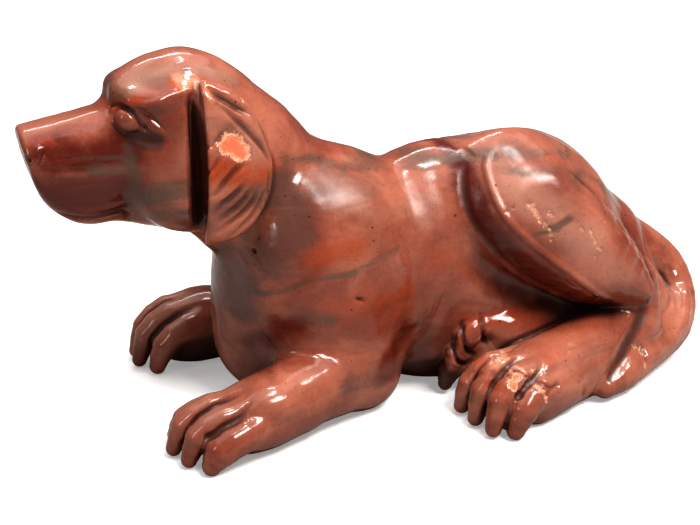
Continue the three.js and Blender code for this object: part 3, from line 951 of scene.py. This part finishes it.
def crevice_shade(form, points, outward):
    """How much painted shade each point gets: 0 in the open, towards 1 in narrow places, from how soon the
    stone comes back near along the normal.
    """
    shade = np.zeros(len(points))
    for reach, weight in ((0.8, 0.3), (1.8, 0.3), (4, 0.25), (8, 0.15)):
        ahead = points + reach * outward
        shade += weight * unit(1.0 - form(*ahead.T) / reach)
    return shade


def slot_darkening_and_corner_shade(points, slot_reach=0.9, front=-48, front_fade=2.4, top=91, top_fade=8):
    """Darker in the slots before the ears, near the ears themselves, and painted shade in the dark corners.
    """
    x, y, z = points.T

    def nearness(distance, reach):
        return unit(1.2 - distance / reach)

    darkening = nearness(np.abs(gaps_before_ears()(x, y, z)), slot_reach)
    darkening *= unit((x - front) / front_fade)
    darkening *= unit((top - z) / top_fade)
    # Painted shade in the dark corners
    for line, radii, reach, strength in PAINTED_CORNER_SHADE:
        corner = nearness(np.maximum(limb(line, radii)(x, y, z), 0.0), reach)
        darkening = np.maximum(darkening, strength * corner)
    return darkening


def depth_at(points, form, strokes, settings, chip_depth=0.3, steepness=5, tear=0.3, flat=0.8):
    """How deep the strokes, the chips and the grinding go, which leave the flat underside alone."""
    depth = settings.cut_depth * depth_of(strokes, points)
    torn = chipped(form, points) + tear * ripple(points, size=1.6, seed=3)
    depth += chip_depth * unit(torn * steepness)
    waves = sum(share * ripple(points, size, seed) for size, seed, share in GRINDING)
    depth += settings.unevenness / MM * waves
    underneath = unit(1.0 - points[:, 2] / flat)
    return depth * (1.0 - underneath)


def note_colours(mesh, form, strokes, waver=2, full_cut=0.8, cut_shade=0.2):
    """Notes where the stone is chipped and coloured, and where painted shade and sheen go, for its material
    to read.
    """
    points = to_drawing(coordinates(mesh))
    add_attribute(mesh, "chip", chipped(form, points))
    warped = points + waver * np.stack([ripple(points, 14, seed) for seed in (4, 5, 6)], axis=1)
    for name, marks in MARKS.items():
        add_attribute(mesh, name, painted(marks, warped))
    add_attribute(mesh, "pale", painted(PALE, points) * (points[:, 1] < 0))
    # Painted shade: narrow places and cuts, with the darkened slots and the dark corners
    cut = unit(depth_of(strokes, points) / full_cut)
    dark = crevice_shade(form, points, outward_at(form, points)) + cut_shade * cut
    add_attribute(mesh, "crevice_shade", unit(np.maximum(dark, slot_darkening_and_corner_shade(points))))


def carve_hound(settings):
    form = hound()
    rng = np.random.default_rng(seed=7)
    strokes = head_strokes() + thigh_strokes() + paw_strokes() + tail_strokes(rng) + coat_strokes(rng)
    lay_on(form, strokes)
    piece = rough_block(settings.grain)
    points, outward = settle(form, to_drawing(coordinates(piece.data)))
    points -= depth_at(points, form, strokes, settings)[:, None] * outward
    points[:, 2] = np.maximum(points[:, 2], 0.0)
    low, high = to_drawing(LOW_CORNER), to_drawing(HIGH_CORNER)
    set_coordinates(piece.data, to_scene(np.clip(points, low, high)))
    thin_out(piece, settings.most_faces)
    mesh = piece.data
    note_colours(mesh, form, strokes)
    mesh.polygons.foreach_set("use_smooth", [True] * len(mesh.polygons))
    return piece


class Nodes:
    """Builds a material's nodes one after another."""

    def __init__(self, name):
        self.material = bpy.data.materials.new(name)
        self.material.use_nodes = True
        self.tree = self.material.node_tree
        self.tree.nodes.clear()

    def add(self, kind, inputs=None, **settings):
        node = self.tree.nodes.new(kind)
        for name, value in settings.items():
            setattr(node, name, value)
        for name, value in (inputs or {}).items():
            if isinstance(value, bpy.types.NodeSocket):
                self.tree.links.new(value, node.inputs[name])
            else:
                node.inputs[name].default_value = value
        return node

    def math(self, operation, *values):
        return self.add("ShaderNodeMath", dict(enumerate(values)), operation=operation).outputs[0]

    def times(self, value, factor, *plus):
        return self.math("MULTIPLY_ADD" if plus else "MULTIPLY", value, factor, *plus)

    def centred(self, cloud):
        return self.math("SUBTRACT", cloud, 0.5)

    def noise(self, vector, scale, detail=3, roughness=0.55, distortion=0):
        inputs = {"Vector": vector, "Scale": scale, "Detail": detail, "Roughness": roughness,
                  "Distortion": distortion}
        return self.add("ShaderNodeTexNoise", inputs).outputs["Fac"]

    def stretch(self, vector, scale, turn=(0, 0, 0)):
        inputs = {"Vector": vector, "Scale": scale, "Rotation": [math.radians(angle) for angle in turn]}
        return self.add("ShaderNodeMapping", inputs).outputs[0]

    def between(self, value, low, high):
        inputs = {"Value": value, "From Min": low, "From Max": high}
        return self.add("ShaderNodeMapRange", inputs, interpolation_type="SMOOTHSTEP").outputs[0]

    def blend(self, factor, one, other):
        inputs = {0: factor, 6: one, 7: other}
        return self.add("ShaderNodeMix", inputs, data_type="RGBA", clamp_result=True).outputs[2]

    def finish(self, inputs):
        """Gives the material its shader."""
        shader = self.add("ShaderNodeBsdfPrincipled", inputs)
        self.add("ShaderNodeOutputMaterial", {"Surface": shader.outputs["BSDF"]})
        return self.material


def opaque(colour):
    return (*colour, 1.0)


# How the colours gather round their marks: a colour and its strength, then the mark, the scale of its clouds,
# how far they spread, where the colour starts and where it is full, and how its clouds are stretched.
GATHERINGS = (
    # dark red, partly painted shade
    ("deep", 1, "deep", 60, 1.3, 0.25, 0.95),
    ("sand", 1, "sand", 50, 0.9, 0.3, 1, (0.4, 0.4, 2)),
    ("ember", 1, "ember", 70, 0.9, 0.3, 0.9),
    # painted sheen on the dulled polish, and painted light on the far foreleg
    ("sheen_and_dull_polish", 0.6, "sheen_and_dull_polish", 45, 0.9, 0.15, 1.15),
    ("chip_edge", 0.7, "pale", 260, 2.2, 0.25, 1.1),
    ("smoke", 1, "smoke", 80, 1.6, 0.3, 0.95, (0.7, 0.7, 1.6)),
    ("vein", 0.8, "vein", 120, 2.2, 0.4, 1.15, (0.35, 0.35, 1.6)),
)
# The level streaks of the bedding, soft and fine: a colour and its strength, then the streaks' scale, their
# stretch, turn and roughness, and where the colour starts and where it is full.
SOFT_BEDDING = ("smoke", 0.5, 55, (0.6, 0.6, 2.2), (6, -8, 20), 0.65, 0.48, 0.78)
FINE_BEDDING = (
    ("vein", 0.45, 150, (0.22, 0.22, 3), (4, -5, 0), 0.68, 0.52, 0.8),
    ("salmon", 0.35, 190, (0.3, 0.3, 2.6), (-3, -8, 10), 0.65, 0.56, 0.84),
)
# Dark specks of two sizes: how closely their cells lie, the lot a cell has to beat, and their radius.
SPECKS = ((430, 0.945, 0.17), (760, 0.93, 0.17))


def stone_material(settings):
    """Brick-red aventurine: clouds of red, bedding, ember and smoke, specks, pale chips, painted shade and
    sheen, and polish.
    """
    make = Nodes("red_aventurine")
    place = make.add("ShaderNodeTexCoord").outputs["Object"]
    attribute = {name: make.add("ShaderNodeAttribute", attribute_name=name).outputs["Fac"]
                 for name in (*MARKS, "pale", "chip", "crevice_shade")}

    def gathered(mark, scale, spread, low, high, stretch=(1, 1, 1)):
        cloud = make.noise(make.stretch(place, stretch), scale, 8, 0.7, 0.3)
        spread_out = make.times(make.centred(cloud), spread, attribute[mark])
        return make.between(spread_out, low, high)

    def tint(colour, name, amount, strength=1):
        if strength < 1:
            amount = make.times(amount, strength)
        return make.blend(amount, colour, opaque(getattr(settings, name)))

    def bed(colour, name, strength, scale, stretch, turn, roughness, low, high):
        streaks = make.noise(make.stretch(place, stretch, turn), scale, 5, roughness)
        return tint(colour, name, make.between(streaks, low, high), strength)

    # Clouds of lighter and darker red
    clouds = make.noise(place, 38, 5, 0.62, 0.3)
    colour = tint(opaque(settings.red), "salmon", make.between(clouds, 0.36, 0.66))
    colour = bed(colour, *SOFT_BEDDING)

    # Where each colour gathers
    for name, strength, *gathering in GATHERINGS:
        colour = tint(colour, name, gathered(*gathering), strength)

    # Fine level streaks, grain and dark specks
    for bedding in FINE_BEDDING:
        colour = bed(colour, *bedding)
    grain = make.noise(place, 1100, 3, 0.65)
    colour = tint(colour, "speck", make.between(grain, 0.5, 0.78), 0.22)
    crowd = make.between(make.noise(place, 50), 0.4, 0.68)
    for scale, chance, radius in SPECKS:
        cells = make.add("ShaderNodeTexVoronoi", {"Vector": place, "Scale": scale, "Randomness": 1})
        lot = make.add("ShaderNodeSeparateColor", {"Color": cells.outputs["Color"]}).outputs["Red"]
        rare = make.math("GREATER_THAN", make.times(crowd, 0.08, lot), chance)
        dot = make.times(rare, make.between(cells.outputs["Distance"], radius, 0.4 * radius))
        colour = tint(colour, "speck", dot, 0.85)

    # Painted shade: darker in narrow places, in the cuts and in the dark corners, and in the darkened slots
    # before the ears
    narrow = make.between(attribute["crevice_shade"], 0.28, 0.8)
    colour = tint(colour, "crevice_shade", narrow, 0.82)

    # Chips: dry and rough, orange inside and pale at the torn edge
    torn_noise = make.centred(make.noise(place, 1000, 5, 0.75))
    torn = make.times(torn_noise, 1.5, attribute["chip"])
    chip = make.between(torn, 0.05, 0.16)
    broken = tint(opaque(settings.chip_edge), "chip_inside", make.between(torn, 0.22, 0.55))
    broken = tint(broken, "salmon", make.between(grain, 0.4, 0.7), 0.35)
    colour = make.blend(chip, colour, broken)

    # Polish: glossy, worn in places to crossing scratches
    down = make.noise(make.stretch(place, (5, 1, 0.3), (0, 25, 0)), 620, 3, 0.6)
    across = make.noise(make.stretch(place, (0.3, 1, 5), (0, 20, 0)), 620, 3, 0.6)
    worn = gathered("worn", 110, 0.9, 0.25, 0.85)
    scratches = make.times(across, 0.35, make.times(down, 0.65))
    dull = make.times(worn, 0.2, settings.polish)
    dull = make.times(make.centred(make.noise(place, 90, 4)), 0.16, dull)
    dull = make.times(narrow, 0.3, dull)
    roughness = make.times(chip, 0.45, dull)
    relief = make.times(scratches, make.times(worn, 0.85, 0.15))
    relief = make.times(make.noise(place, 260), 0.25, relief)
    relief = make.times(chip, make.times(torn_noise, 3, -1.6), relief)
    bump = make.add("ShaderNodeBump", {"Height": relief, "Strength": 0.6, "Distance": 0.00012})

    return make.finish({
        "Base Color": colour, "Roughness": roughness, "Normal": bump.outputs["Normal"], "IOR": 1.54,
    })


def floor_material(settings):
    make = Nodes("pale_floor")
    seen = make.add("ShaderNodeLightPath").outputs["Is Camera Ray"]
    colour = make.blend(seen, opaque(settings.floor_bounce), opaque(settings.floor_colour))
    return make.finish({
        "Base Color": colour, "Roughness": 0.6, "Emission Color": opaque((1, 1, 1)),
        "Emission Strength": make.times(seen, settings.floor_glow),
    })


def colour_setting(name, description, default):
    return bpy.props.FloatVectorProperty(
        name=name, description=description, subtype="COLOR", size=3, min=0.0, max=1.0, default=default)


class StoneDogSettings(bpy.types.PropertyGroup):
    """Sizes and colours of the carving."""

    grain: bpy.props.FloatProperty(
        name="Face size", description="Size of the small faces the stone is cut from", unit="LENGTH",
        default=0.45 * MM, min=0.3 * MM, max=3 * MM)
    most_faces: bpy.props.IntProperty(
        name="Most faces", description="Triangles kept in the finished carving", default=190000, min=20000)
    cut_depth: bpy.props.FloatProperty(
        name="Cut depth", description="How deep the hair, lids and toes are cut, against the photograph",
        subtype="FACTOR", default=1.0, min=0.0, max=2.0)
    unevenness: bpy.props.FloatProperty(
        name="Unevenness", description="Height of the waves that hand grinding left", unit="LENGTH",
        default=0.13 * MM, min=0.0, max=1 * MM)
    polish: bpy.props.FloatProperty(
        name="Polish", description="Roughness of the polished stone", subtype="FACTOR",
        default=0.15, min=0.0, max=1.0)
    red: colour_setting("Red", "Brick red of most of the stone", (0.268, 0.070, 0.043))
    salmon: colour_setting("Salmon", "Lighter clouds in the red", (0.455, 0.168, 0.108))
    # Dark brown-red, partly the stone's own and partly painted shade where the stone faces away from the
    # light
    deep: colour_setting("Deep red", "Dark brown-red", (0.140, 0.022, 0.014))
    ember: colour_setting("Ember", "Orange-red iron stains", (0.420, 0.085, 0.032))
    smoke: colour_setting("Smoke", "Purple-grey clouds", (0.190, 0.082, 0.062))
    vein: colour_setting("Veins", "Grey-green bedding", (0.125, 0.082, 0.058))
    # Painted sheen on the dulled polish, and painted light on the far foreleg
    sheen_and_dull_polish: colour_setting("Haze", "Dulled polish", (0.600, 0.310, 0.235))
    sand: colour_setting("Sand", "Pale grey-brown bands", (0.300, 0.150, 0.100))
    speck: colour_setting("Specks", "Dark mineral specks", (0.030, 0.012, 0.010))
    # The colour of the painted shade in narrow places, cuts and dark corners, and of the darkened slots
    # before the ears
    crevice_shade: colour_setting("Crevices", "Old polish in the cuts", (0.045, 0.014, 0.010))
    chip_edge: colour_setting("Chip, edge", "Freshly broken stone", (0.880, 0.450, 0.300))
    chip_inside: colour_setting("Chip, inside", "Broken stone where it is stained", (0.820, 0.210, 0.095))


class StoneDogStageSettings(bpy.types.PropertyGroup):
    """The floor, the lights and the camera."""

    azimuth: bpy.props.FloatProperty(
        name="Camera azimuth", description="How far the camera stands round towards the nose",
        subtype="ANGLE", default=math.radians(20.0))
    elevation: bpy.props.FloatProperty(
        name="Camera elevation", description="How steeply the camera looks down",
        subtype="ANGLE", default=math.radians(21.0))
    distance: bpy.props.FloatProperty(
        name="Camera distance", description="From the camera to the point it looks at", unit="LENGTH",
        default=362 * MM, min=10 * MM)
    lens: bpy.props.FloatProperty(
        name="Lens", description="Focal length on a 36 mm wide sensor, in millimetres",
        default=66.857, min=10.0)
    floor_size: bpy.props.FloatProperty(
        name="Floor size", description="Width of the floor", unit="LENGTH", default=6.0, min=1.0)
    floor_colour: colour_setting("Floor", "The pale floor", (0.86, 0.85, 0.84))
    floor_bounce: colour_setting("Floor bounce", "What the floor sends up onto the stone", (0.42, 0.40, 0.38))
    floor_glow: bpy.props.FloatProperty(
        name="Floor glow", description="How much the floor is whitened in the picture", default=0.25, min=0.0)


class OBJECT_OT_stone_dog(bpy.types.Operator):
    """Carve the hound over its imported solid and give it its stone"""

    bl_idname = "object.stone_dog"
    bl_label = "Carve the hound"

    def execute(self, context):
        settings = context.scene.stone_dog
        piece = carve_hound(settings)
        piece.data.materials.clear()
        piece.data.materials.append(stone_material(settings))
        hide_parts(NODE)
        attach(piece, BODY)
        return {"FINISHED"}


# Where the camera looks, in the drawing's millimetres, and where the lights point, in the scene's metres.
AIM = np.array([0.0, 0.0, 34.0])
MIDDLE = (0, 0, (CAD_BOX[1][2] - CAD_BOX[0][2]) / 2)
SENSOR_WIDTH = 36.0
WHITE = (1, 1, 1)
# The ceiling, the window and the lamps that draw the small hard highlights: where they hang, their size and
# power, and where they point and their colour if it isn't the usual.
LIGHTS = (
    ("ceiling", (0.05, 0.3, 1.25), (1.9, 1.5), 8.8, (0.05, 0.3, 0)),
    ("window", (0.32, -0.6, 1.02), (0.5, 0.32), 9.6, MIDDLE, (1, 0.985, 0.96)),
    ("lamp_behind", (0, 0.49, 0.55), (0.42, 0.02), 0.6),
    ("lamp_above", (0.05, 0.1, 0.62), (0.16, 0.03), 0.4),
    ("lamp_right", (0.42, -0.28, 0.62), (0.12, 0.03), 0.4),
    ("lamp_left", (-0.5, -0.2, 0.3), (0.03, 0.2), 0.25),
    ("lamp_over", (0.12, -0.16, 1), (0.22, 0.09), 1.7),
)
ROOM_COLOUR = (1.0, 0.99, 0.98, 1.0)
ROOM_LIGHT = 0.12


def add_light(name, place, size, power, aim=MIDDLE, colour=WHITE):
    light = bpy.data.lights.new(name, "AREA")
    light.shape = "RECTANGLE"
    light.size, light.size_y = size
    light.energy = power
    light.color = colour
    lamp = put_in_scene(name, light)
    lamp.location = place
    lamp.rotation_euler = (Vector(aim) - Vector(place)).to_track_quat("-Z", "Y").to_euler()


class OBJECT_OT_stone_dog_stage(bpy.types.Operator):
    """Lay the pale floor and set the soft studio lights and the camera"""

    bl_idname = "object.stone_dog_stage"
    bl_label = "Set the stage"

    def execute(self, context):
        settings = context.scene.stone_dog_stage
        shape = bmesh.new()
        bmesh.ops.create_grid(shape, x_segments=1, y_segments=1, size=settings.floor_size / 2)
        bmesh.ops.translate(shape, verts=shape.verts, vec=(0.0, 0.0, CAD_BOX[0][2]))
        floor = put_in_scene("floor", mesh_of(shape, "floor"))
        floor.data.materials.append(floor_material(settings))

        camera = bpy.data.cameras.new("camera")
        camera.lens = settings.lens
        camera.sensor_width = SENSOR_WIDTH
        camera.clip_start = 10 * MM
        viewer = put_in_scene("camera", camera)
        level = math.cos(settings.elevation)
        back = Vector((-math.sin(settings.azimuth) * level, -math.cos(settings.azimuth) * level,
                       math.sin(settings.elevation)))
        viewer.location = Vector(to_scene(AIM)) + settings.distance * back
        viewer.rotation_euler = (-back).to_track_quat("-Z", "Y").to_euler()
        context.scene.camera = viewer

        for light in LIGHTS:
            add_light(*light)

        world = bpy.data.worlds.new("white_room")
        world.use_nodes = True
        background = world.node_tree.nodes["Background"]
        background.inputs["Color"].default_value = ROOM_COLOUR
        background.inputs["Strength"].default_value = ROOM_LIGHT
        context.scene.world = world
        context.scene.view_settings.view_transform = "Standard"
        context.scene.view_settings.look = "High Contrast"
        return {"FINISHED"}


class VIEW3D_PT_stone_dog(bpy.types.Panel):
    """The carving's settings and its two steps"""

    bl_idname = "VIEW3D_PT_stone_dog"
    bl_label = "Stone dog"
    bl_space_type = "VIEW_3D"
    bl_region_type = "UI"
    bl_category = "Stone dog"

    def draw(self, context):
        layout = self.layout
        for settings in (context.scene.stone_dog, context.scene.stone_dog_stage):
            box = layout.box()
            for name in settings.__annotations__:
                box.prop(settings, name)
        layout.operator(OBJECT_OT_stone_dog_stage.bl_idname)
        layout.operator(OBJECT_OT_stone_dog.bl_idname)


CLASSES = (StoneDogSettings, StoneDogStageSettings, OBJECT_OT_stone_dog, OBJECT_OT_stone_dog_stage,
           VIEW3D_PT_stone_dog)


def register():
    for kind in CLASSES:
        bpy.utils.register_class(kind)
    bpy.types.Scene.stone_dog = bpy.props.PointerProperty(type=StoneDogSettings)
    bpy.types.Scene.stone_dog_stage = bpy.props.PointerProperty(type=StoneDogStageSettings)


def unregister():
    del bpy.types.Scene.stone_dog_stage
    del bpy.types.Scene.stone_dog
    for kind in reversed(CLASSES):
        bpy.utils.unregister_class(kind)


def main():
    register()
    bpy.ops.object.stone_dog_stage()
    bpy.ops.object.stone_dog()


if __name__ == "__main__":
    main()
